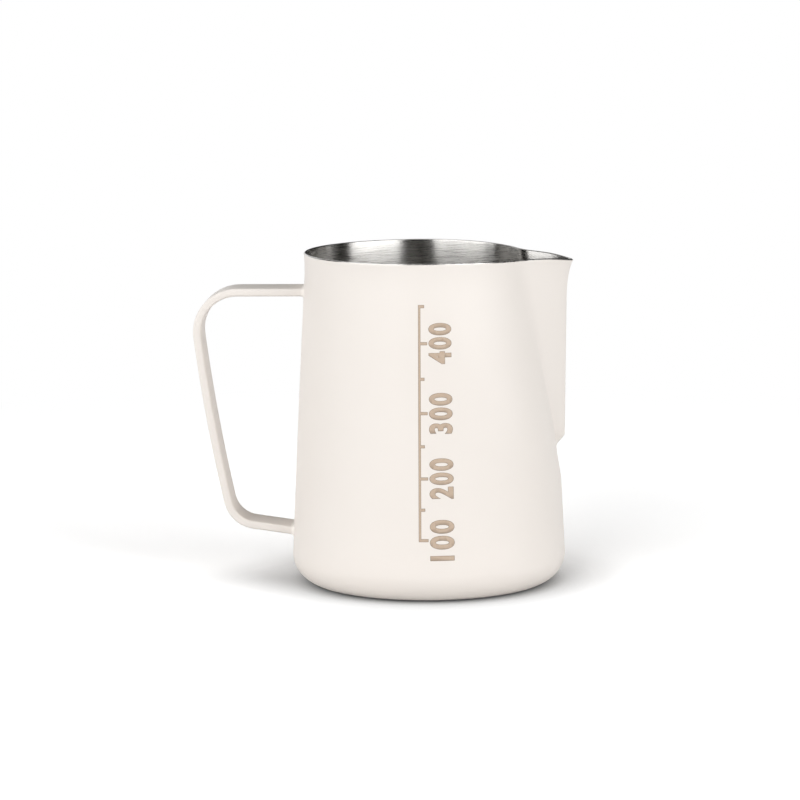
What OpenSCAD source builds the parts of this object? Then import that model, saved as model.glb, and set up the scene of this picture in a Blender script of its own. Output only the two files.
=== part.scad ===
// Milk frothing pitcher, about 500 ml: a deep-drawn steel cup with a pressed pouring spout,
// a powder-coated outside and a bent flat-bar handle welded on opposite the spout.
// The origin is the middle of the foot ring. The spout points along +X and the handle along -X.

/* [Cup] */
// Height of the rim over the foot ring
cup_h = 104.2; // [90:0.1:120]
// Radius of the cup where it is widest, just above the bottom corner
base_r = 43; // [38:0.5:50]
// Radius of the cup at the rim, before the rim's flare
rim_r = 37.9; // [33:0.1:45]
// How far the straight taper bulges halfway up
barrel = 0.15; // [0:0.05:1]
// How far the last few millimetres under the rim flare outwards
rim_flare = 0.6; // [0:0.1:1.5]
// Radius of the corner between the wall and the bottom
corner_r = 9; // [5:0.5:14]
// Thickness of the steel sheet
sheet_t = 0.8; // [0.6:0.1:1.2]
// Depth of the shallow recess pressed up into the bottom
recess_h = 0.8; // [0.4:0.1:2]
// Width of the flat foot ring round that recess
foot_ring_w = 3; // [2:0.5:6]

/* [Spout] */
// Distance from the cup's axis to the pouring tip
tip_r = 45.7; // [44:0.1:50]
// Distance from the cup's axis to the spout's ridge, where it starts at its foot
ridge_r = 42.9; // [42.5:0.1:45]
// How much further out the ridge stands at the top of its straight stretch
ridge_lean = 0.9; // [0:0.1:2]
// Height where the spout grows out of the cup
spout_foot_z = 43; // [30:1:60]
// Half of the angle that the spout takes up at the rim
spout_half_angle = 30; // [20:1:40]
// How deep the creases beside the spout are pressed in at the rim
crease_dip = 4.5; // [1:0.1:6]
// How deep the dent is right below the spout's foot
foot_dip = 1; // [0.2:0.1:2]
// How far the rim drops towards the spout, before the lip's own curl
rim_drop = 1.5; // [0:0.1:4]
// How far the lip curls down at the very tip
tip_drop = 1.1; // [0:0.1:3]

/* [Coat] */
// Thickness of the powder coat
coat_t = 0.1; // [0.05:0.01:0.2]

/* [Handle] */
// Width of the flat bar
bar_w = 13.5; // [10:0.5:18]
// Thickness of the flat bar
bar_t = 2.5; // [1.5:0.1:4]
// Radius of the bar's rounded edges
bar_edge_r = 0.7; // [0.2:0.1:0.8]
// Height of the top face of the handle's upper arm
arm_z = 93.2; // [80:0.1:100]
// Distance from the cup's axis to where the upper bend starts
arm_end_x = 59.2; // [50:0.1:75]
// Outside radius of the upper bend
upper_bend_r = 14; // [8:0.1:22]
// Angle of the upper bend
upper_bend_a = 97; // [90:0.1:105]
// Length of the grip along its outer face
grip_l = 53; // [40:0.5:60]
// How much the grip bows outwards over its length, as an angle
grip_bow = 5.4; // [1:0.1:12]
// Outside radius of the lower bend
lower_bend_r = 10.6; // [6:0.1:16]
// Angle of the lower bend
lower_bend_a = 69.4; // [55:0.1:80]
// How far each weld fillet reaches along the bar and along the wall
weld_leg = 1.1; // [0.5:0.1:2]

/* [Hidden] */

coat_colour = "#f4eee8";
steel_colour = "#b9b7b3";

// The taper runs from the top of the bottom corner to the rim.
flare_h = 8;
// The spout's own lip flares over a longer stretch than the round rim does.
lip_flare_h = 14;
// Height over which the spout's foot rises out of the wall, and the dent under it fades out.
foot_rise = 4.2;
foot_start = 0.7;
// The flank's chord is blended into the shoulder no further than this past the crease.
flank_overlap = 12;
dent_h = 12;
// The rim's drop is shared out over the wall above this height.
drop_from_z = 60;
// Angles over which the pressed-in shoulders fade into the round wall, at the foot and at the rim.
shoulder_low = 28;
shoulder_high = 73;
// How round the ridge is at its foot and at the lip, as the angle over which it turns.
ridge_soft = 1.5;
lip_soft = 3.8;
// How softly the creases are filled in at the foot and at the rim.
crease_low = 0.25;
crease_high = 1.5;
// Angle over which the shoulders round into the crease, at the foot and above it.
shoulder_soft = 5;
least_soft = 0.01;
// Angle either side of the tip over which the lip curls down.
tip_width = 9;
// The spout is never narrower than this half angle, even at its foot.
least_half = 3;
// Exponents of the spout's widening with height and of the shoulders' fading with angle.
widening = 0.7;
fading = 1.3;
// Radius that is taken off both edges of the lip.
lip_round = 0.25;
// Width of the slope from the floor up to its raised middle.
floor_slope_w = 1;
// The bar runs this far into the steel's surface, so that they join.
root_depth = 0.05;
// Margin of a cutting tool that reaches past the face it cuts.
overcut = 1;

function smooth_step(t) = let(u = min(max(t, 0), 1)) u * u * (3 - 2 * u);
function rounded_abs(v, soft) = sqrt(v * v + soft * soft);
function smooth_max(a, b, soft) = let(h = max(soft - abs(a - b), 0) / soft) max(a, b) + h * h * soft / 4;

// Radius of the round cup at height z: bottom corner, slightly barrelled taper, flared rim.
function taper_r(z) =
    let(t = (z - corner_r) / (cup_h - corner_r))
    base_r + (rim_r - base_r) * t + 4 * barrel * t * (1 - t);
function round_r(z) =
    z < corner_r ? base_r - corner_r + sqrt(pow(corner_r, 2) - pow(corner_r - z, 2))
    : taper_r(z) + rim_flare * pow(max(z - cup_h + flare_h, 0) / flare_h, 2);

// How far up the spout a height is, from 0 at its foot to 1 at the rim.
function spout_t(z) = min(max((z - spout_foot_z) / (cup_h - spout_foot_z), 0), 1);

// Depth of the pressed-in shoulders and of the dent under the foot.
function dip(z) =
    foot_dip * smooth_step((z - spout_foot_z + dent_h) / dent_h) + (crease_dip - foot_dip) * spout_t(z);
function crease_a(z) = spout_half_angle * pow(spout_t(z), widening);
function shoulder_r(a, z) =
    let(
        soft = shoulder_soft * (1 - smooth_step((z - spout_foot_z) / foot_rise)) + least_soft,
        past = max(rounded_abs(max(a - crease_a(z), 0), soft) - soft, 0),
        span = shoulder_low + (shoulder_high - shoulder_low) * spout_t(z)
    )
    round_r(z) - dip(z) * pow(max(1 - past / span, 0), fading);

// Radius of the ridge: almost upright, then flaring into the lip.
lip_r = tip_r - ridge_r - ridge_lean;
tip_z = cup_h - rim_drop - tip_drop;
function spout_ridge_r(z) =
    ridge_r + ridge_lean * (z - spout_foot_z) / (tip_z - spout_foot_z)
    + lip_r * pow(max(z - tip_z + lip_flare_h, 0) / lip_flare_h, 3);

// Radius of the spout's flat flank, a chord from the crease to the rounded ridge.
function flank_r(a, z) =
    let(
        crease_r = round_r(z) - dip(z),
        rise = smooth_step((z - spout_foot_z + foot_start) / foot_rise),
        top_r = crease_r + (spout_ridge_r(z) - crease_r) * rise,
        half = max(crease_a(z), least_half),
        soft = min(ridge_soft + (lip_soft - ridge_soft) * spout_t(z), half / 2),
        crease_soft = rounded_abs(half, soft),
        q = crease_r / top_r,
        slope = atan2(q * sin(crease_soft) - sin(soft), cos(soft) - q * cos(crease_soft))
    )
    top_r * sin(slope + soft) / sin(slope + rounded_abs(a, soft));

// Outer radius of the finished cup at angle a from the spout and height z.
function wall_r(a, z) =
    let(side = abs(a > 180 ? a - 360 : a), inner = shoulder_r(side, z))
    z <= spout_foot_z - foot_start || side > crease_a(z) + flank_overlap ? inner
    : smooth_max(inner, flank_r(side, z), crease_low + (crease_high - crease_low) * spout_t(z));

// How far the rim lies below cup_h at angle a.
function drop(a) =
    let(side = abs(a > 180 ? a - 360 : a))
    rim_drop * pow(max(cos(side), 0), 2) + tip_drop * exp(-pow(side / tip_width, 2));

// Angles of the mesh's columns: close together over the spout and its shoulders.
fine_to = 40;
fine_step = 2.5;
coarse_n = 34;
columns = concat(
    [for (a = [-fine_to : fine_step : fine_to]) a],
    [for (i = [1 : coarse_n]) fine_to + i * (360 - 2 * fine_to) / (coarse_n + 1)]
);

// Heights of the mesh's rows: an arc round the corner, then closer steps at the foot and the rim.
corner_steps = 5;
corner_turns = [for (i = [0 : corner_steps]) i * 90 / corner_steps];
corner_rows = [for (t = corner_turns) corner_r * (1 - cos(t))];
low_gap = 8;
foot_gap = 1.5;
high_gap = 9;
lip_rows_h = 9;
lip_crowding = 1.3;
wall_rows = concat(
    [for (z = [corner_r + low_gap - 1 : low_gap : spout_foot_z - low_gap]) z],
    [for (k = [4, 2]) spout_foot_z - k * foot_gap],
    [for (z = [spout_foot_z - foot_gap / 2 : foot_gap : spout_foot_z + foot_rise + foot_gap]) z],
    [for (z = [spout_foot_z + high_gap + foot_gap : high_gap : cup_h - lip_rows_h - high_gap / 2]) z],
    [for (t = [0 : 0.25 : 1]) cup_h - lip_rows_h * pow(1 - t, lip_crowding)]
);
// How far each edge row sinks below the rim, and every other row not at all.
function edge_sink(z) = z == cup_h ? lip_round : 0;
function backwards(list) = [for (i = [len(list) - 1 : -1 : 0]) list[i]];

// One ring of points, inset from the finished wall. Rows near the rim follow its drop.
function ring(z, inset, sink = 0) = [
    for (a = columns)
    let(
        follow = pow(max(z - drop_from_z, 0) / (cup_h - drop_from_z), 2),
        height = z - follow * drop(a),
        r = wall_r(a, height) - inset
    )
    [r * cos(a), r * sin(a), height - sink]
];
// A plain round ring for the bottom.
function flat_ring(r, z) = [for (a = columns) [r * cos(a), r * sin(a), z]];

// A closed skin through a list of rings, which is capped at both ends or runs back into itself.
module ring_solid(rings, closed_loop = false) {
    n = len(rings[0]);
    last = len(rings) - 1;
    sides = [
        for (k = [0 : last - 1], i = [0 : n - 1])
        let(j = (i + 1) % n)
        each [
            [k * n + i, (k + 1) * n + i, (k + 1) * n + j],
            [k * n + i, (k + 1) * n + j, k * n + j]
        ]
    ];
    seam = [
        for (i = [0 : n - 1])
        let(j = (i + 1) % n)
        each [[last * n + i, i, j], [last * n + i, j, last * n + j]]
    ];
    caps = [[for (i = [0 : n - 1]) i], [for (i = [n - 1 : -1 : 0]) last * n + i]];
    polyhedron(points = [for (r = rings) each r], faces = concat(sides, closed_loop ? seam : caps));
}

// The steel cup: outside up to the rim, a rounded-over edge, the inside down to the floor.
module body() {
    inside = coat_t + sheet_t;
    inner_corner_r = corner_r - sheet_t;
    recess_r = base_r - corner_r - foot_ring_w;
    outer = [for (z = concat(corner_rows, wall_rows)) ring(z, coat_t, edge_sink(z))];
    edge = [ring(cup_h, coat_t + lip_round), ring(cup_h, inside - lip_round)];
    inner = [for (z = backwards(wall_rows)) ring(z, inside, edge_sink(z))];
    floor_corner = [
        for (t = backwards(corner_turns))
        flat_ring(base_r - coat_t - corner_r + inner_corner_r * sin(t), corner_r - inner_corner_r * cos(t))
    ];
    floor_mid = [flat_ring(recess_r - floor_slope_w, sheet_t + recess_h)];
    color(steel_colour)
    difference() {
        ring_solid(concat(outer, edge, inner, floor_corner, floor_mid));
        translate([0, 0, -overcut]) cylinder(r = recess_r, h = overcut + recess_h, $fn = 96);
    }
}

// The powder coat on the outside of the cup, from the rim's edge to the start of the foot ring.
module body_coat() {
    coat_rows = concat([for (i = [1 : corner_steps]) corner_rows[i]], wall_rows);
    outer = [for (z = coat_rows) ring(z, 0, edge_sink(z))];
    inner = [for (z = backwards(coat_rows)) ring(z, coat_t, edge_sink(z))];
    color(coat_colour) ring_solid(concat(outer, inner), closed_loop = true);
}

// Cross-section of the flat bar with its rounded edges, grown outwards for the welds.
edge_steps = 3;
function bar_section(grow = 0) = [
    for (corner = [0 : 3], k = [0 : edge_steps])
    let(
        quarter = corner * 90,
        u = (bar_t / 2 + grow - bar_edge_r) * sign(cos(quarter + 45)),
        v = (bar_w / 2 + grow - bar_edge_r) * sign(sin(quarter + 45)),
        a = quarter + k * 90 / edge_steps
    )
    [u + bar_edge_r * cos(a), v + bar_edge_r * sin(a)]
];

// The middle line of the bar as stations [x, z, heading], with the heading counted from +X.
function turned(s, r, a) =
    let(h = s[2])
    [s[0] + r * (cos(h + 90) + cos(h + a - 90)), s[1] + r * (sin(h + 90) + sin(h + a - 90)), h + a];
function moved(s, l) = [s[0] + l * cos(s[2]), s[1] + l * sin(s[2]), s[2]];
function bend(s, r, a, n) = [for (i = [0 : n]) turned(s, r, a * i / n)];

grip_r = grip_l / (grip_bow * PI / 180) - bar_t / 2;
arm_mid_z = arm_z - bar_t / 2;
upper_steps = 16;
grip_steps = 6;
lower_steps = 12;
upper_bend = bend([-arm_end_x, arm_mid_z, 180], upper_bend_r - bar_t / 2, upper_bend_a, upper_steps);
grip = bend(upper_bend[upper_steps], grip_r, grip_bow, grip_steps);
lower_bend = bend(grip[grip_steps], lower_bend_r - bar_t / 2, lower_bend_a, lower_steps);

// Both arms run a little way into the cup, where the cup's outline trims them.
into_cup = 3;
// The lower arm falls about this far between its bend and the wall.
lower_fall = 2;
upper_root = [-round_r(arm_mid_z), arm_mid_z, 180];
lower_end = lower_bend[lower_steps];
lower_gap = (-round_r(lower_end[1] - lower_fall) - lower_end[0]) / cos(lower_end[2]);
lower_root = moved(lower_end, lower_gap);

// The cross-section placed square to the bar's path at one station.
function bar_ring(s, grow = 0) = [
    for (p = bar_section(grow)) [s[0] - p[0] * sin(s[2]), -p[1], s[1] + p[0] * cos(s[2])]
];
module bar() {
    path = concat(
        [moved(upper_root, -into_cup)], upper_bend,
        [for (i = [1 : grip_steps]) grip[i]],
        [for (i = [1 : lower_steps]) lower_bend[i]],
        [moved(lower_root, into_cup)]
    );
    ring_solid([for (s = path) bar_ring(s)]);
}

// The round cup as one solid, inset from its finished wall. It trims what is welded on.
envelope_steps = 12;
module cup_envelope(inset) {
    taper_rows = [for (i = [1 : envelope_steps]) corner_r + i * (cup_h - corner_r) / envelope_steps];
    outline = [for (z = concat(corner_rows, taper_rows)) [round_r(z) - inset, z]];
    rotate_extrude($fn = 144) polygon(concat([[0, 0]], outline, [[0, cup_h]]));
}

module handle() {
    color(coat_colour)
    difference() {
        bar();
        cup_envelope(coat_t + root_depth);
    }
}

// A fillet bead round the bar at its root. It starts wide, where the wall has fallen away behind the
// bar's edges, and ends on the bar's own surface, weld_leg out from the wall.
edge_fall = 0.7;
thin_end = 0.02;
module bead(root, outwards) {
    wide = moved(root, -edge_fall * outwards);
    thin = moved(root, weld_leg * outwards);
    stations = outwards > 0 ? [[wide, weld_leg], [thin, thin_end]] : [[thin, thin_end], [wide, weld_leg]];
    color(coat_colour)
    difference() {
        ring_solid([for (s = stations) bar_ring(s[0], s[1])]);
        cup_envelope(coat_t);
        bar();
    }
}

module upper_weld() bead(upper_root, 1);
module lower_weld() bead(lower_root, -1);

body();
body_coat();
handle();
upper_weld();
lower_weld();
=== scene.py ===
"""Looks of the milk frothing pitcher: spouted steel cup, powder coat, handle, welds and scale."""

import math

import bmesh
import bpy
import numpy as np
from mathutils import Matrix, Vector


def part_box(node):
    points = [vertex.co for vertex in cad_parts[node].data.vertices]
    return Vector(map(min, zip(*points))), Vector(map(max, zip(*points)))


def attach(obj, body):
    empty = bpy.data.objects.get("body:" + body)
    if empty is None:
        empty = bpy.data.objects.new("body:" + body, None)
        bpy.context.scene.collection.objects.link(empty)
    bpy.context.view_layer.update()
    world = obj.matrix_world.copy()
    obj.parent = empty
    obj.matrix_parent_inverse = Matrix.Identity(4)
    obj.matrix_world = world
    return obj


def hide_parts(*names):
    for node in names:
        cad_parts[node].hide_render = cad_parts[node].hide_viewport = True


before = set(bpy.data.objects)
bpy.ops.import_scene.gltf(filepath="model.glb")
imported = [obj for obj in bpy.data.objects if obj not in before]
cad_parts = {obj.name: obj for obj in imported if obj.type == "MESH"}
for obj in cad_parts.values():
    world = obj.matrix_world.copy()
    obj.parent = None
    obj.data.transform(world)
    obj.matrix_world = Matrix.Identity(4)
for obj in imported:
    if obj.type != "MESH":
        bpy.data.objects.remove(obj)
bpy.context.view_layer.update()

# ---------------------------------------------------------------------------------------- steel cup
# The cup is deep-drawn from one disc of stainless sheet, and the pouring spout is pressed out of its
# wall afterwards. The lip is trimmed and rounded over. The inside and the underside stay bare steel,
# brushed round the cup's axis while it turned on a lathe.

cup_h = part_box("body")[1].z
tip_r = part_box("body_coat")[1].x
base_r = 0.043
rim_r = 0.0379
barrel = 0.00015
rim_flare = 0.0006
flare_h = 0.008
corner_r = 0.009
sheet_t = 0.0008
coat_t = 0.0001
recess_h = 0.0008
recess_r = 0.031

spout_foot_z = 0.043
spout_half_angle = 30
spout_widening = 0.7
ridge_r = 0.0429
ridge_lean = 0.0009
ridge_turn = 1.5
lip_turn = 3.8
lip_flare_h = 0.014
foot_rise = 0.0042
foot_start = 0.0007
foot_dip = 0.001
foot_dent_h = 0.012
crease_dip = 0.0045
crease_fill_low = 0.00025
crease_fill_high = 0.0015
shoulder_low = 28
shoulder_high = 73
shoulder_fading = 1.3
shoulder_soft = 5
least_soft = 0.01
least_half = 3
widest_flank = 60
flank_overlap = 12
rim_drop = 0.0015
tip_drop = 0.0011
tip_width = 9
drop_from_z = 0.06


def clamp01(t):
    return np.clip(t, 0, 1)


def smooth_step(t):
    u = clamp01(t)
    return u * u * (3 - 2 * u)


def rounded_abs(v, soft):
    return np.sqrt(v * v + soft * soft)


def smooth_max(a, b, soft):
    h = np.maximum(soft - np.abs(a - b), 0) / soft
    return np.maximum(a, b) + h * h * soft / 4


def sin_deg(a):
    return np.sin(np.radians(a))


def cos_deg(a):
    return np.cos(np.radians(a))


def round_r(z):
    """Radius of the plain round cup: bottom corner, slightly barrelled taper, flared rim."""
    t = (z - corner_r) / (cup_h - corner_r)
    taper = base_r + (rim_r - base_r) * t + 4 * barrel * t * (1 - t)
    flare = rim_flare * (np.maximum(z - cup_h + flare_h, 0) / flare_h) ** 2
    below = np.clip(corner_r - z, 0, corner_r)
    corner = base_r - corner_r + np.sqrt(corner_r**2 - below**2)
    return np.where(z < corner_r, corner, taper + flare)


def spout_t(z):
    return clamp01((z - spout_foot_z) / (cup_h - spout_foot_z))


def crease_angle(z):
    return spout_half_angle * spout_t(z) ** spout_widening


def dip(z):
    """Depth of the pressed-in shoulders beside the spout and of the dent under its foot."""
    dent = foot_dip * smooth_step((z - spout_foot_z + foot_dent_h) / foot_dent_h)
    return dent + (crease_dip - foot_dip) * spout_t(z)


def shoulder_r(a, z):
    soft = shoulder_soft * (1 - smooth_step((z - spout_foot_z) / foot_rise)) + least_soft
    past = np.maximum(rounded_abs(np.maximum(a - crease_angle(z), 0), soft) - soft, 0)
    span = shoulder_low + (shoulder_high - shoulder_low) * spout_t(z)
    return round_r(z) - dip(z) * np.maximum(1 - past / span, 0) ** shoulder_fading


def ridge_at(z):
    """Radius of the spout's ridge: almost upright, then flaring into the lip."""
    tip_z = cup_h - rim_drop - tip_drop
    lip_out = tip_r - ridge_r - ridge_lean
    lean = ridge_lean * (z - spout_foot_z) / (tip_z - spout_foot_z)
    return ridge_r + lean + lip_out * (np.maximum(z - tip_z + lip_flare_h, 0) / lip_flare_h) ** 3


def flank_r(a, z):
    """Radius of the spout's flat flank: a chord from the crease to the rounded ridge."""
    crease_r = round_r(z) - dip(z)
    risen = smooth_step((z - spout_foot_z + foot_start) / foot_rise)
    top_r = crease_r + (ridge_at(z) - crease_r) * risen
    half = np.maximum(crease_angle(z), least_half)
    soft = np.minimum(ridge_turn + (lip_turn - ridge_turn) * spout_t(z), half / 2)
    crease_soft = rounded_abs(half, soft)
    q = crease_r / top_r
    rise = q * sin_deg(crease_soft) - sin_deg(soft)
    run = cos_deg(soft) - q * cos_deg(crease_soft)
    slope = np.degrees(np.arctan2(rise, run))
    return top_r * sin_deg(slope + soft) / sin_deg(slope + rounded_abs(a, soft))


def wall_r(a, z):
    """Outer radius of the finished cup, a degrees round from the spout at height z."""
    side = np.abs((a + 180) % 360 - 180)
    shoulder = shoulder_r(side, z)
    fill = crease_fill_low + (crease_fill_high - crease_fill_low) * spout_t(z)
    on_spout = (z > spout_foot_z - foot_start) & (side <= crease_angle(z) + flank_overlap)
    flank = flank_r(np.minimum(side, widest_flank), z)
    return np.where(on_spout, smooth_max(shoulder, flank, fill), shoulder)


def rim_fall(a):
    """How far the rim lies below its highest point, a degrees round from the spout."""
    side = np.abs((a + 180) % 360 - 180)
    return rim_drop * np.maximum(cos_deg(side), 0) ** 2 + tip_drop * np.exp(-((side / tip_width) ** 2))


# The mesh's columns stand close together over the spout and its creases. All of these are degrees,
# and the wall's own direction is measured between points this far to either side.
spout_side = 38
spout_step = 0.5
round_columns = 190
columns = np.concatenate([
    np.arange(-spout_side, spout_side, spout_step),
    np.linspace(spout_side, 360 - spout_side, round_columns)[:-1],
])
measured_over = 1.5


def wall_ring(z, inset, sink=0.0):
    """One ring of the wall, moved inwards square to the wall. Rings near the rim follow its fall."""
    follow = (max(z - drop_from_z, 0) / (cup_h - drop_from_z)) ** 2
    height = z - follow * rim_fall(columns)

    def outline(a):
        r = wall_r(a, height)
        return np.stack([r * cos_deg(a), r * sin_deg(a)], 1)

    along = outline(columns + measured_over) - outline(columns - measured_over)
    along /= np.linalg.norm(along, axis=1)[:, None]
    inwards = np.stack([-along[:, 1], along[:, 0]], 1)
    flat = outline(columns) + inset * inwards
    return np.column_stack([flat, height - sink])


def plain_ring(r, z):
    return np.column_stack([r * cos_deg(columns), r * sin_deg(columns), np.full(len(columns), z)])


def skin(name, rings, ends):
    """A smooth-shaded mesh through equal rings, with its ends joined or closed by middle points."""
    n, count = len(rings[0]), len(rings)
    points = np.concatenate(rings)
    bands = np.arange(count if ends == "joined" else count - 1)
    k, i = np.meshgrid(bands, np.arange(n), indexing="ij")
    here, up, on = k * n, (k + 1) % count * n, (i + 1) % n
    faces = np.stack([here + i, here + on, up + on, up + i], -1).reshape(-1, 4).tolist()
    if ends == "middles":
        first, last = points[:n].mean(0), points[-n:].mean(0)
        points = np.concatenate([points, [first, last]])
        start, end = count * n, (count - 1) * n
        faces += [[start, (i + 1) % n, i] for i in range(n)]
        faces += [[start + 1, end + i, end + (i + 1) % n] for i in range(n)]
    mesh = bpy.data.meshes.new(name)
    mesh.from_pydata(points.tolist(), [], faces)
    mesh.shade_smooth()
    piece = bpy.data.objects.new(name, mesh)
    bpy.context.scene.collection.objects.link(piece)
    return piece


# The wall's rings, as stretches with a start, an end and a number of rings: even on the plain wall,
# closer at the spout's foot and under the rim.
ring_stretches = [
    (corner_r, spout_foot_z - 0.014, 8),
    (spout_foot_z - 0.012, spout_foot_z - 0.002, 8),
    (spout_foot_z - 0.0012, spout_foot_z + 0.006, 19),
    (spout_foot_z + 0.0068, cup_h - 0.018, 22),
    (cup_h - 0.017, cup_h - 0.0012, 20),
]
wall_heights = np.concatenate([np.linspace(*stretch) for stretch in ring_stretches])[1:]
corner_turns = np.linspace(0, 90, 15)
edge_turns = np.linspace(0, 180, 13)


def cup_rings():
    """The steel's rings in order: underside, outer corner and wall, rounded lip, inner wall, floor."""
    lip = sheet_t / 2
    fold = 0.0004
    floor_r = base_r - corner_r - coat_t
    floor_corner_r = corner_r - sheet_t
    floor_edge_r = 0.0012
    flat_edge_r = recess_r - 0.003
    middle_r = 0.002
    floor_z = sheet_t + recess_h
    quarter = np.linspace(0, 90, 6)
    rings = [plain_ring(r, recess_h) for r in np.linspace(middle_r, recess_r - 2 * fold, 8)]
    rings += [
        plain_ring(recess_r - 2 * fold + fold * sin_deg(t), recess_h - fold + fold * cos_deg(t))
        for t in quarter
    ]
    rings += [plain_ring(recess_r - fold * cos_deg(t), fold * (1 - sin_deg(t))) for t in quarter]
    rings += [
        plain_ring(floor_r + corner_r * sin_deg(t), corner_r * (1 - cos_deg(t)))
        for t in corner_turns
    ]
    rings += [wall_ring(z, coat_t) for z in wall_heights]
    rings += [
        wall_ring(cup_h, coat_t + lip * (1 - cos_deg(t)), lip * (1 - sin_deg(t)))
        for t in edge_turns
    ]
    rings += [wall_ring(z, coat_t + sheet_t) for z in wall_heights[::-1]]
    rings += [
        plain_ring(floor_r + floor_corner_r * cos_deg(t), corner_r - floor_corner_r * sin_deg(t))
        for t in corner_turns
    ]
    rings += [
        plain_ring(recess_r - fold - floor_edge_r * t, sheet_t + recess_h * float(smooth_step(t)))
        for t in np.linspace(0.1, 1, 8)
    ]
    rings += [plain_ring(r, floor_z) for r in np.linspace(flat_edge_r, middle_r, 8)]
    return rings


class Wire:
    """An output of a node. Python's operators on it add Math nodes, whichever side it stands on."""

    def __init__(self, finish, socket):
        self.finish, self.socket = finish, socket

    def math(self, operation, *values):
        return self.finish.add("Math", {"operation": operation}, dict(enumerate(values)))

    def __add__(self, other):
        return self.math("ADD", self, other)

    def __sub__(self, other):
        return self.math("SUBTRACT", self, other)

    def __rsub__(self, other):
        return self.math("SUBTRACT", other, self)

    def __mul__(self, other):
        return self.math("MULTIPLY", self, other)

    def __truediv__(self, other):
        return self.math("DIVIDE", self, other)

    def __rtruediv__(self, other):
        return self.math("DIVIDE", other, self)

    def __pow__(self, other):
        return self.math("POWER", self, other)

    def __rpow__(self, other):
        return self.math("POWER", other, self)

    __radd__ = __add__
    __rmul__ = __mul__


class Finish:
    """The nodes of a material or of the world."""

    def __init__(self, owner):
        owner.use_nodes = True
        self.tree = owner.node_tree
        self.tree.nodes.clear()

    def add(self, kind, settings=None, sockets=None, out=0):
        """A node of a kind, with its settings first and then its sockets, as values or wires."""
        node = self.tree.nodes.new("ShaderNode" + kind)
        for key, value in (settings or {}).items():
            setattr(node, key, value)
        for key, value in (sockets or {}).items():
            if isinstance(value, Wire):
                self.tree.links.new(value.socket, node.inputs[key])
            else:
                node.inputs[key].default_value = value
        return Wire(self, node.outputs[out]) if node.outputs else node

    def split(self, vector):
        """The x, y and z of a vector."""
        parts = self.add("SeparateXYZ", None, {"Vector": vector})
        return [Wire(self, part) for part in parts.socket.node.outputs]

    def mix(self, factor, a, b):
        """A colour between a and b. The colours are sRGB triples or wires."""
        sockets = {0: factor, 6: colour(a), 7: colour(b)}
        return self.add("Mix", {"data_type": "RGBA"}, sockets, out=2)

    def bump(self, height, distance, strength):
        return self.add("Bump", None, {"Height": height, "Distance": distance, "Strength": strength})


def colour(value):
    """An sRGB triple from 0 to 255 as the linear colour that sockets hold."""
    if isinstance(value, Wire):
        return value
    shares = [v / 255 for v in value]
    return (*[s / 12.92 if s <= 0.04045 else ((s + 0.055) / 1.055) ** 2.4 for s in shares], 1)


def new_material(name):
    material = bpy.data.materials.new(name)
    return material, Finish(material)


def brushed_steel():
    """Stainless steel brushed in fine broken lines that run round the cup's axis."""
    material, steel = new_material("brushed_steel")
    line_pitch = 3400
    line_turn = 3.2
    tone_pitch = 0.12
    tone_turn = 2
    never_zero = 1e-5
    x, y, z = steel.split(steel.add("TexCoord", out="Object"))
    r = (x * x + y * y) ** 0.5 + never_zero
    profile = (z + r) * line_pitch
    course = steel.add("CombineXYZ", None, {
        "X": x / r * line_turn, "Y": y / r * line_turn, "Z": profile,
    })
    lines = steel.add("TexNoise", None, {
        "Vector": course, "Scale": 1, "Detail": 5, "Roughness": 0.75,
    })
    wide_course = steel.add("CombineXYZ", None, {
        "X": x / r * tone_turn, "Y": y / r * tone_turn, "Z": profile * tone_pitch,
    })
    tone = steel.add("TexNoise", None, {
        "Vector": wide_course, "Scale": 1, "Detail": 2, "Roughness": 0.5,
    })
    streaks = (lines - 0.5) * 2.2 + 0.5
    shade = steel.mix(streaks * 0.8 + tone * 0.2, (150, 148, 145), (240, 238, 235))
    steel.add("OutputMaterial", None, {
        "Surface": steel.add("BsdfPrincipled", None, {
            "Base Color": shade,
            "Metallic": 1.0,
            "Roughness": streaks * 0.12 + 0.22,
            "Anisotropic": 1.0,
            "Anisotropic Rotation": 0.25,
            "Normal": steel.bump(lines, 0.00002, 0.5),
        }),
    })
    return material


cup = skin("steel_cup", cup_rings(), "middles")
# The brushing direction is taken round the middle of this box, so the box is centred on the cup's axis.
cup.data.use_auto_texspace = False
cup.data.texspace_location = (0, 0, cup_h / 2)
cup.data.texspace_size = (tip_r, tip_r, cup_h / 2)
cup.data.materials.append(brushed_steel())
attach(cup, "root")
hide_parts("body")

# -------------------------------------------------------------------------------------- powder coat
# The outside is sprayed with off-white polyester powder and baked: a satin skin about 0.1 mm thick,
# with a very fine orange peel. It ends at the lip and where the bottom's corner turns under.

coat_edge_r = coat_t / 2
coat_low_turn = 18


def coat_rings():
    """The coat's outer rings from the bottom up, then its inner ones back down against the steel."""
    lip = sheet_t / 2
    turns = corner_turns[corner_turns >= coat_low_turn]
    coat_edge_turns = np.linspace(0, 180, 7)

    def corner(t, inset):
        r = corner_r - inset
        return plain_ring(base_r - corner_r + r * sin_deg(t), corner_r - r * cos_deg(t))

    outer = [corner(t, 0) for t in turns] + [wall_ring(z, 0) for z in wall_heights]
    inner = [corner(t, coat_t) for t in turns] + [wall_ring(z, coat_t) for z in wall_heights]
    top = [
        wall_ring(cup_h, coat_edge_r * (1 - cos_deg(t)), lip - coat_edge_r * sin_deg(t))
        for t in coat_edge_turns
    ]
    return outer + top + inner[::-1]


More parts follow.
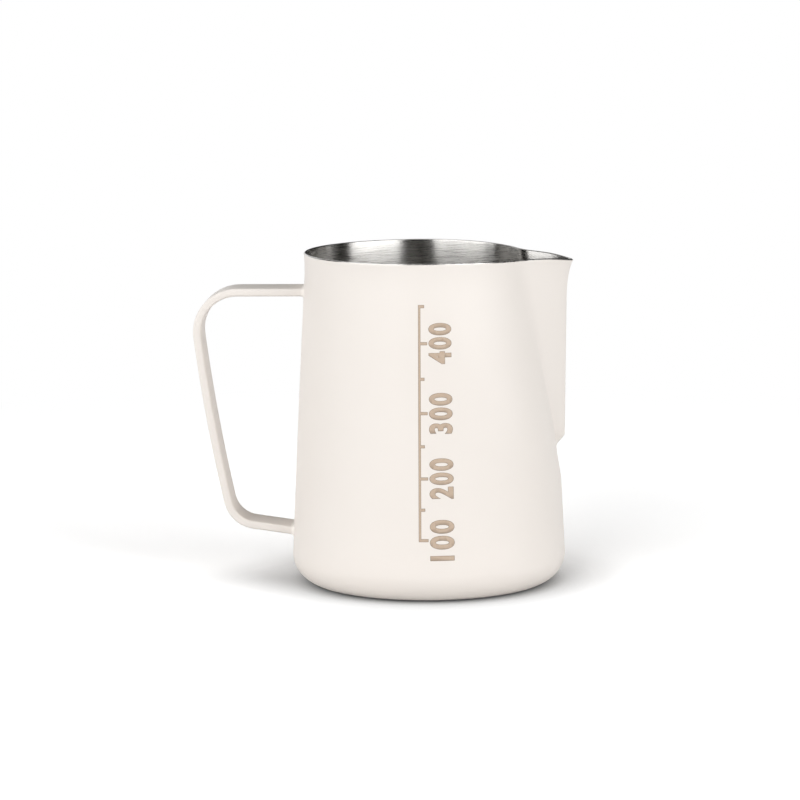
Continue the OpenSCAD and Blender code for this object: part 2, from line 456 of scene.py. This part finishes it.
def powder_coat():
    """Satin off-white powder coat: fine orange peel and a faint cloudiness."""
    material, coat = new_material("powder_coat")
    place = coat.add("TexCoord", out="Object")
    peel = coat.add("TexNoise", None, {"Vector": place, "Scale": 900, "Detail": 2, "Roughness": 0.5})
    grain = coat.add("TexNoise", None, {"Vector": place, "Scale": 5200, "Detail": 1, "Roughness": 0.5})
    cloud = coat.add("TexNoise", None, {"Vector": place, "Scale": 38, "Detail": 2, "Roughness": 0.5})
    shade = coat.mix(cloud * 0.6 + grain * 0.4, (240, 233, 226), (247, 241, 235))
    coat.add("OutputMaterial", None, {
        "Surface": coat.add("BsdfPrincipled", None, {
            "Base Color": shade,
            "Roughness": peel * 0.12 + 0.42,
            "IOR": 1.5,
            "Normal": coat.bump(peel + grain * 0.25, 0.00001, 0.6),
        }),
    })
    return material


coat_material = powder_coat()
coat = skin("cup_powder_coat", coat_rings(), "joined")
coat.data.materials.append(coat_material)
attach(coat, "root")
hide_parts("body_coat")

# ------------------------------------------------------------------------------------------- handle
# The handle is one flat steel bar with rounded edges, bent twice and bowed a little where the palm
# lies. Both of its ends are cut square, welded to the cup opposite the spout, and coated with it.

handle_low, handle_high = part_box("handle")
bar_w = handle_high.y - handle_low.y
bar_t = 0.0025
bar_edge_r = 0.0007
arm_z = handle_high.z
arm_end_x = -0.0592
upper_bend_r = 0.014
upper_bend_a = 97
grip_l = 0.053
grip_bow = 5.4
lower_bend_r = 0.0106
lower_bend_a = 69.4
lower_arm_fall = 0.002
end_straight = 0.003
into_wall = 0.0006


def bent(station, r, a):
    """The station [x, z, heading in degrees] that a bend of radius r reaches after turning by a."""
    x, z, h = station
    return [
        x + r * (math.cos(math.radians(h + 90)) + math.cos(math.radians(h + a - 90))),
        z + r * (math.sin(math.radians(h + 90)) + math.sin(math.radians(h + a - 90))),
        h + a,
    ]


def moved(station, l):
    x, z, h = station
    return [x + l * math.cos(math.radians(h)), z + l * math.sin(math.radians(h)), h]


def bend(station, r, a, steps):
    return [bent(station, r, a * i / steps) for i in range(1, steps + 1)]


upper_root = [-float(round_r(arm_z - bar_t / 2)), arm_z - bar_t / 2, 180]
upper_bend = [[arm_end_x, arm_z - bar_t / 2, 180]]
upper_bend += bend(upper_bend[0], upper_bend_r - bar_t / 2, upper_bend_a, 40)
grip = bend(upper_bend[-1], grip_l / math.radians(grip_bow) - bar_t / 2, grip_bow, 16)
lower_bend = bend(grip[-1], lower_bend_r - bar_t / 2, lower_bend_a, 32)
lower_reach = -float(round_r(lower_bend[-1][1] - lower_arm_fall)) - lower_bend[-1][0]
lower_root = moved(lower_bend[-1], lower_reach / math.cos(math.radians(lower_bend[-1][2])))


def bar_outline():
    """Points round the bar's section, in rows of u, v and the outward direction in u and v."""
    edge_steps = 8
    rows = []
    for quarter in range(0, 360, 90):
        u = (bar_t / 2 - bar_edge_r) * np.sign(cos_deg(quarter + 45))
        v = (bar_w / 2 - bar_edge_r) * np.sign(sin_deg(quarter + 45))
        for a in np.linspace(quarter, quarter + 90, edge_steps + 1):
            out_u, out_v = cos_deg(a), sin_deg(a)
            rows.append([u + bar_edge_r * out_u, v + bar_edge_r * out_v, out_u, out_v])
    return np.array(rows)


def on_bar(station, u, v):
    """Points u, v of a section that stands square to the bar's path at a station."""
    x, z, h = station
    return np.column_stack([x - u * sin_deg(h), -v, z + u * cos_deg(h)])


section = bar_outline()
path = [moved(upper_root, -into_wall), upper_root]
path += [moved(upper_root, l) for l in np.linspace(0, upper_root[0] - arm_end_x, 8)[1:-1]]
path += upper_bend + grip + lower_bend
path += [moved(lower_root, -end_straight), lower_root, moved(lower_root, into_wall)]

handle = skin("handle_bar", [on_bar(s, section[:, 0], section[:, 1]) for s in path], "middles")
handle.data.materials.append(coat_material)
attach(handle, "root")
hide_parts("handle")

# -------------------------------------------------------------------------------------------- welds
# Each end of the bar is joined to the cup by a small fillet weld that runs all the way round it.
# The welds are ground smooth and lie under the same powder coat.

weld_leg = 0.0011


def fillet_rings(root, outwards):
    """Rings of a concave fillet, from the wall out along the bar and back inside both."""
    heading = math.radians(root[2])
    ahead = np.array([math.cos(heading), 0, math.sin(heading)]) * outwards
    arc = np.linspace(0, 90, 9)
    profile = [(weld_leg * (1 - sin_deg(t)), weld_leg * (1 - cos_deg(t))) for t in arc]
    inside_bar = -bar_edge_r / 3
    inside_wall = -into_wall / 2
    profile += [(inside_bar, weld_leg / 2), (inside_bar, inside_wall), (weld_leg / 2, inside_wall)]
    rings = []
    for grow, out in profile:
        u, v, out_u, out_v = section.T
        start = on_bar(root, u + grow * out_u, v + grow * out_v)
        # Each pass moves the points along the bar, nearer to the round wall.
        for _ in range(6):
            r_here = np.hypot(start[:, 0], start[:, 1])
            start = start + ((round_r(start[:, 2]) - r_here) / abs(ahead[0]))[:, None] * ahead
        rings.append(start + out * ahead)
    return rings


upper_weld = skin("upper_weld_bead", fillet_rings(upper_root, 1), "joined")
lower_weld = skin("lower_weld_bead", fillet_rings(lower_root, -1), "joined")
for weld, node in ((upper_weld, "upper_weld"), (lower_weld, "lower_weld")):
    weld.data.materials.append(coat_material)
    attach(weld, "root")
    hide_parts(node)

# ------------------------------------------------------------------------------------- volume scale
# A scale of plain numbers is marked on the side of the cup with a laser, which turns the coat tan and
# singes its edges a little darker. Its levels are where that much milk stands in the cup.

scale_angle = -84.5
stem_s = -0.0047
stem_w = 0.0005
long_tick = 0.0021
short_tick = 0.0012
tick_w = 0.0007
numeral_h = 0.0064
numeral_l = 0.0118
numeral_s = 0.0018
numeral_weight = 0.034
numeral_gap = 1.22
lowest_ml, highest_ml, step_ml, numbered_ml = 100, 450, 50, 100
singe_w = 0.00012
strip_w = 0.0005
strip_h = 0.002
mark_top = 0.00002
singe_top = 0.00001
mark_under = 0.00003
below_rim = 0.004


def level_heights():
    """Filled volumes in cubic metres and the heights of their surfaces, from the inside of the cup."""
    heights = np.linspace(sheet_t + recess_h, cup_h - below_rim, 160)
    areas = []
    for z in heights:
        if z > corner_r:
            ring = wall_ring(z, coat_t + sheet_t)
        else:
            across_corner = math.sqrt((corner_r - sheet_t) ** 2 - (corner_r - z) ** 2)
            ring = plain_ring(base_r - corner_r - coat_t + across_corner, z)
        x, y = ring[:, :2].T
        areas.append(abs(np.dot(x, np.roll(y, -1)) - np.dot(y, np.roll(x, -1))) / 2)
    steps = np.diff(heights) * (np.array(areas)[1:] + np.array(areas)[:-1]) / 2
    return np.concatenate([[0], np.cumsum(steps)]), heights


filled, filled_z = level_heights()


def level(ml):
    return float(np.interp(ml * 1e-6, filled, filled_z))


def rectangle(flat, s0, s1, z0, z1):
    corners = [flat.verts.new((s, z, 0)) for s, z in ((s0, z0), (s1, z0), (s1, z1), (s0, z1))]
    flat.faces.new(corners)


def numeral(flat, text, s, z, grow):
    """Adds a number that reads upwards, centred on s and z, and grown outwards all round."""
    lettering = bpy.data.curves.new("numeral", "FONT")
    lettering.body = text
    lettering.resolution_u = 8
    lettering.space_character = numeral_gap
    plain = bpy.data.objects.new("numeral", lettering)
    bpy.context.scene.collection.objects.link(plain)

    def outline(offset):
        lettering.offset = offset
        bpy.context.view_layer.update()
        graph = bpy.context.evaluated_depsgraph_get()
        return bpy.data.meshes.new_from_object(plain.evaluated_get(graph))

    thin = outline(0)
    size = np.array([v.co[:2] for v in thin.vertices])
    low, high = size.min(0), size.max(0)
    scale_l = numeral_l * len(text) / 3 / (high[0] - low[0])
    scale_h = numeral_h / (high[1] - low[1])
    mesh = outline(numeral_weight + grow / scale_h)
    first = len(flat.verts)
    flat.from_mesh(mesh)
    flat.verts.ensure_lookup_table()
    for v in flat.verts[first:]:
        across = (v.co.x - (low[0] + high[0]) / 2) * scale_l
        up = (v.co.y - (low[1] + high[1]) / 2) * scale_h
        v.co = (s - up, z + across, 0)
    bpy.data.objects.remove(plain)
    bpy.data.curves.remove(lettering)
    for used in (thin, mesh):
        bpy.data.meshes.remove(used)


def scale_piece(name, grow, top):
    """The whole scale as thin solids wrapped onto the wall."""
    flat = bmesh.new()
    half_stem, half_tick = stem_w / 2 + grow, tick_w / 2 + grow
    stem_edge = stem_s + half_stem
    rectangle(flat, stem_s - half_stem, stem_edge,
              level(lowest_ml) - half_tick, level(highest_ml) + half_tick)
    for ml in range(lowest_ml, highest_ml + 1, step_ml):
        numbered = ml % numbered_ml == 0
        length = long_tick if numbered else short_tick
        z = level(ml)
        rectangle(flat, stem_edge, stem_edge + length, z - half_tick, z + half_tick)
        if numbered:
            numeral(flat, str(ml), numeral_s, z, grow)
    bmesh.ops.remove_doubles(flat, verts=flat.verts, dist=1e-7)
    # Cut into small faces, so that the flat marks can follow the round wall.
    for axis, gap in ((0, strip_w), (1, strip_h)):
        low = min(v.co[axis] for v in flat.verts)
        high = max(v.co[axis] for v in flat.verts)
        for place in np.arange(low + gap, high, gap):
            everything = list(flat.verts) + list(flat.edges) + list(flat.faces)
            cut = Vector((0, 0, 0))
            cut[axis] = 1
            bmesh.ops.bisect_plane(flat, geom=everything, plane_co=cut * place, plane_no=cut)
    raised = bmesh.ops.extrude_face_region(flat, geom=list(flat.faces), use_keep_orig=True)
    for v in [v for v in raised["geom"] if isinstance(v, bmesh.types.BMVert)]:
        v.co.z = 1
    bmesh.ops.recalc_face_normals(flat, faces=list(flat.faces))
    points = np.array([v.co for v in flat.verts])
    middle_z = (level(lowest_ml) + level(highest_ml)) / 2
    mean_r = wall_r(np.array(scale_angle), np.array(middle_z))
    angle = scale_angle + np.degrees(points[:, 0] / mean_r)
    r = wall_r(angle, points[:, 1]) + np.where(points[:, 2] > 0.5, top, -mark_under)
    placed = np.column_stack([r * cos_deg(angle), r * sin_deg(angle), points[:, 1]])
    for v, p in zip(flat.verts, placed):
        v.co = p
    mesh = bpy.data.meshes.new(name)
    flat.to_mesh(mesh)
    flat.free()
    piece = bpy.data.objects.new(name, mesh)
    bpy.context.scene.collection.objects.link(piece)
    return piece


def laser_mark(name, dark, light):
    """Coat turned tan by a laser, in the fine lines in which the beam swept it."""
    material, mark = new_material(name)
    place = mark.add("TexCoord", out="Object")
    x, y, z = mark.split(place)
    along, across = 120, 6500
    sweep = mark.add("CombineXYZ", None, {"X": x * along, "Y": y * along, "Z": z * across})
    lines = mark.add("TexNoise", None, {
        "Vector": sweep, "Scale": 1, "Detail": 2, "Roughness": 0.6,
    })
    blotch = mark.add("TexNoise", None, {
        "Vector": place, "Scale": 1400, "Detail": 2, "Roughness": 0.6,
    })
    mark.add("OutputMaterial", None, {
        "Surface": mark.add("BsdfPrincipled", None, {
            "Base Color": mark.mix(lines * 0.6 + blotch * 0.4, dark, light),
            "Roughness": lines * 0.2 + 0.5,
            "Normal": mark.bump(lines, 0.00001, 0.6),
        }),
    })
    return material


singed = scale_piece("volume_scale_edge", singe_w, singe_top)
singed.data.materials.append(laser_mark("laser_singe", (128, 108, 88), (164, 142, 120)))
scale = scale_piece("volume_scale", 0, mark_top)
scale.data.materials.append(laser_mark("laser_mark", (184, 160, 138), (212, 192, 172)))
for piece in (singed, scale):
    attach(piece, "root")

# ------------------------------------------------------------------------------------------- studio
# A white table and background, large soft lamps at the front and sides, and dark cards between them
# that only show as the dark bands in the brushed steel. None of it belongs to the pitcher.

camera_turn = math.radians(3)


def around(angle, distance, height):
    """A point on a circle round the cup's axis, angle degrees to the right of the camera's side."""
    a = math.radians(angle) - math.pi / 2 + camera_turn
    return Vector((distance * math.cos(a), distance * math.sin(a), height))


lamp_distance = 1.2


def softbox(name, angle, height, width, tall, strength):
    """A large soft lamp that faces the pitcher."""
    data = bpy.data.lights.new(name, "AREA")
    data.shape = "RECTANGLE"
    data.size, data.size_y = width, tall
    data.energy = strength * width * tall * math.pi
    lamp = bpy.data.objects.new(name, data)
    lamp.location = around(angle, lamp_distance, height)
    lamp.rotation_mode = "QUATERNION"
    away = lamp.location - Vector((0, 0, cup_h / 2))
    lamp.rotation_quaternion = away.to_track_quat("Z", "Y")
    bpy.context.scene.collection.objects.link(lamp)


softbox("left_softbox", -44, height=0.5, width=1.7, tall=0.9, strength=2.4)
softbox("right_softbox", 55, height=0.5, width=1.3, tall=0.9, strength=2.7)
softbox("spout_softbox", -86, height=0.42, width=0.22, tall=0.8, strength=1.7)

card_distance = 0.9
card_low, card_high = 0.1, 2.2
card_panels = 8


def dark_card(name, start, end):
    """An upright card that only mirrors see, from one angle to another round the pitcher."""
    angles = np.linspace(start, end, card_panels + 1)
    feet = [around(a, card_distance, card_low) for a in angles]
    tops = [around(a, card_distance, card_high) for a in angles]
    mesh = bpy.data.meshes.new(name)
    faces = [[i, i + 1, i + card_panels + 2, i + card_panels + 1] for i in range(card_panels)]
    mesh.from_pydata([*feet, *tops], [], faces)
    card = bpy.data.objects.new(name, mesh)
    bpy.context.scene.collection.objects.link(card)
    material, nodes = new_material(name)
    nodes.add("OutputMaterial", None, {
        "Surface": nodes.add("BsdfDiffuse", None, {"Color": colour((12, 12, 12)), "Roughness": 1.0}),
    })
    mesh.materials.append(material)
    card.visible_camera = card.visible_diffuse = card.visible_shadow = False


dark_card("middle_card", -17, 24)
dark_card("left_card", -132, -91)
dark_card("right_card", 82, 109)
dark_card("back_card", 115, 190)

floor_mesh = bpy.data.meshes.new("floor")
floor_half = 4.0
corners = [(-1, -1), (1, -1), (1, 1), (-1, 1)]
floor_mesh.from_pydata([(x * floor_half, y * floor_half, 0) for x, y in corners], [], [[0, 1, 2, 3]])
floor = bpy.data.objects.new("floor", floor_mesh)
bpy.context.scene.collection.objects.link(floor)


def seen_directly(nodes):
    """1 for rays from the camera, a mirror or glass, and 0 for the light that falls on things."""
    path = nodes.add("LightPath")
    outputs = path.socket.node.outputs
    kinds = ("Is Camera Ray", "Is Glossy Ray", "Is Transmission Ray")
    seen, mirrored, through = [Wire(nodes, outputs[kind]) for kind in kinds]
    return seen.math("MINIMUM", seen + mirrored + through, 1)


# Things are lit by plain white paint. Seen directly, it is whiter and fades into the white background
# further out.
# Close to the pitcher it darkens: partly the lamps' real shadow, partly a contact shadow painted into
# its colour.
paint_white = 0.84
painted_shadow_gain = 1.13
painted_shadow_depth = 0.76
painted_shadow_reach = 0.03
table_glow = 0.05
fade_start, fade_end = 0.12, 0.42

floor_material, floor_nodes = new_material("white_table_painted_shadow")
x, y, z = floor_nodes.split(floor_nodes.add("TexCoord", out="Object"))
far = floor_nodes.add("MapRange", {"interpolation_type": "SMOOTHSTEP"}, {
    "Value": (x * x + y * y) ** 0.5, "From Min": fade_start, "From Max": fade_end,
})
# Painted shadow: an ambient occlusion mask darkens the table's seen colour right beside the pitcher,
# standing in for its contact shadow.
painted_shadow_openness = floor_nodes.add("AmbientOcclusion", {"samples": 8}, {"Distance": painted_shadow_reach}, out="AO")
seen_white_with_painted_shadow = seen_directly(floor_nodes) * (painted_shadow_openness * painted_shadow_gain - painted_shadow_depth) + paint_white
paint = floor_nodes.add("BsdfDiffuse", None, {"Color": seen_white_with_painted_shadow, "Roughness": 1.0})
glow = floor_nodes.add("Emission", None, {"Strength": seen_directly(floor_nodes) * table_glow})
white = floor_nodes.add("Emission", None, {"Strength": 1.0})
table = floor_nodes.add("AddShader", None, {0: paint, 1: glow})
floor_nodes.add("OutputMaterial", None, {
    "Surface": floor_nodes.add("MixShader", None, {
        0: far * seen_directly(floor_nodes), 1: table, 2: white,
    }),
})
floor_mesh.materials.append(floor_material)

world = bpy.data.worlds.new("white_room")
bpy.context.scene.world = world
room = Finish(world)
room_light = 0.26
room.add("OutputWorld", None, {
    "Surface": room.add("Background", None, {
        "Color": (1, 1, 1, 1),
        "Strength": seen_directly(room) * (1 - room_light) + room_light,
    }),
})

camera_distance = 1.08364
camera_height = 0.21719
camera_aside = -0.008795
look_down = math.radians(8.4)
roll = math.radians(-0.48)
lens = bpy.data.cameras.new("camera")
lens.lens = 156.73
lens.sensor_width = 36
camera = bpy.data.objects.new("camera", lens)
bpy.context.scene.collection.objects.link(camera)
stand = around(0, camera_distance, camera_height)
aside = Vector((math.cos(camera_turn), math.sin(camera_turn), 0)) * camera_aside
camera.matrix_world = (
    Matrix.Translation(stand + aside)
    @ Matrix.Rotation(camera_turn, 4, "Z")
    @ Matrix.Rotation(math.pi / 2 - look_down, 4, "X")
    @ Matrix.Rotation(roll, 4, "Z")
)
bpy.context.scene.camera = camera
bpy.context.scene.view_settings.view_transform = "Standard"
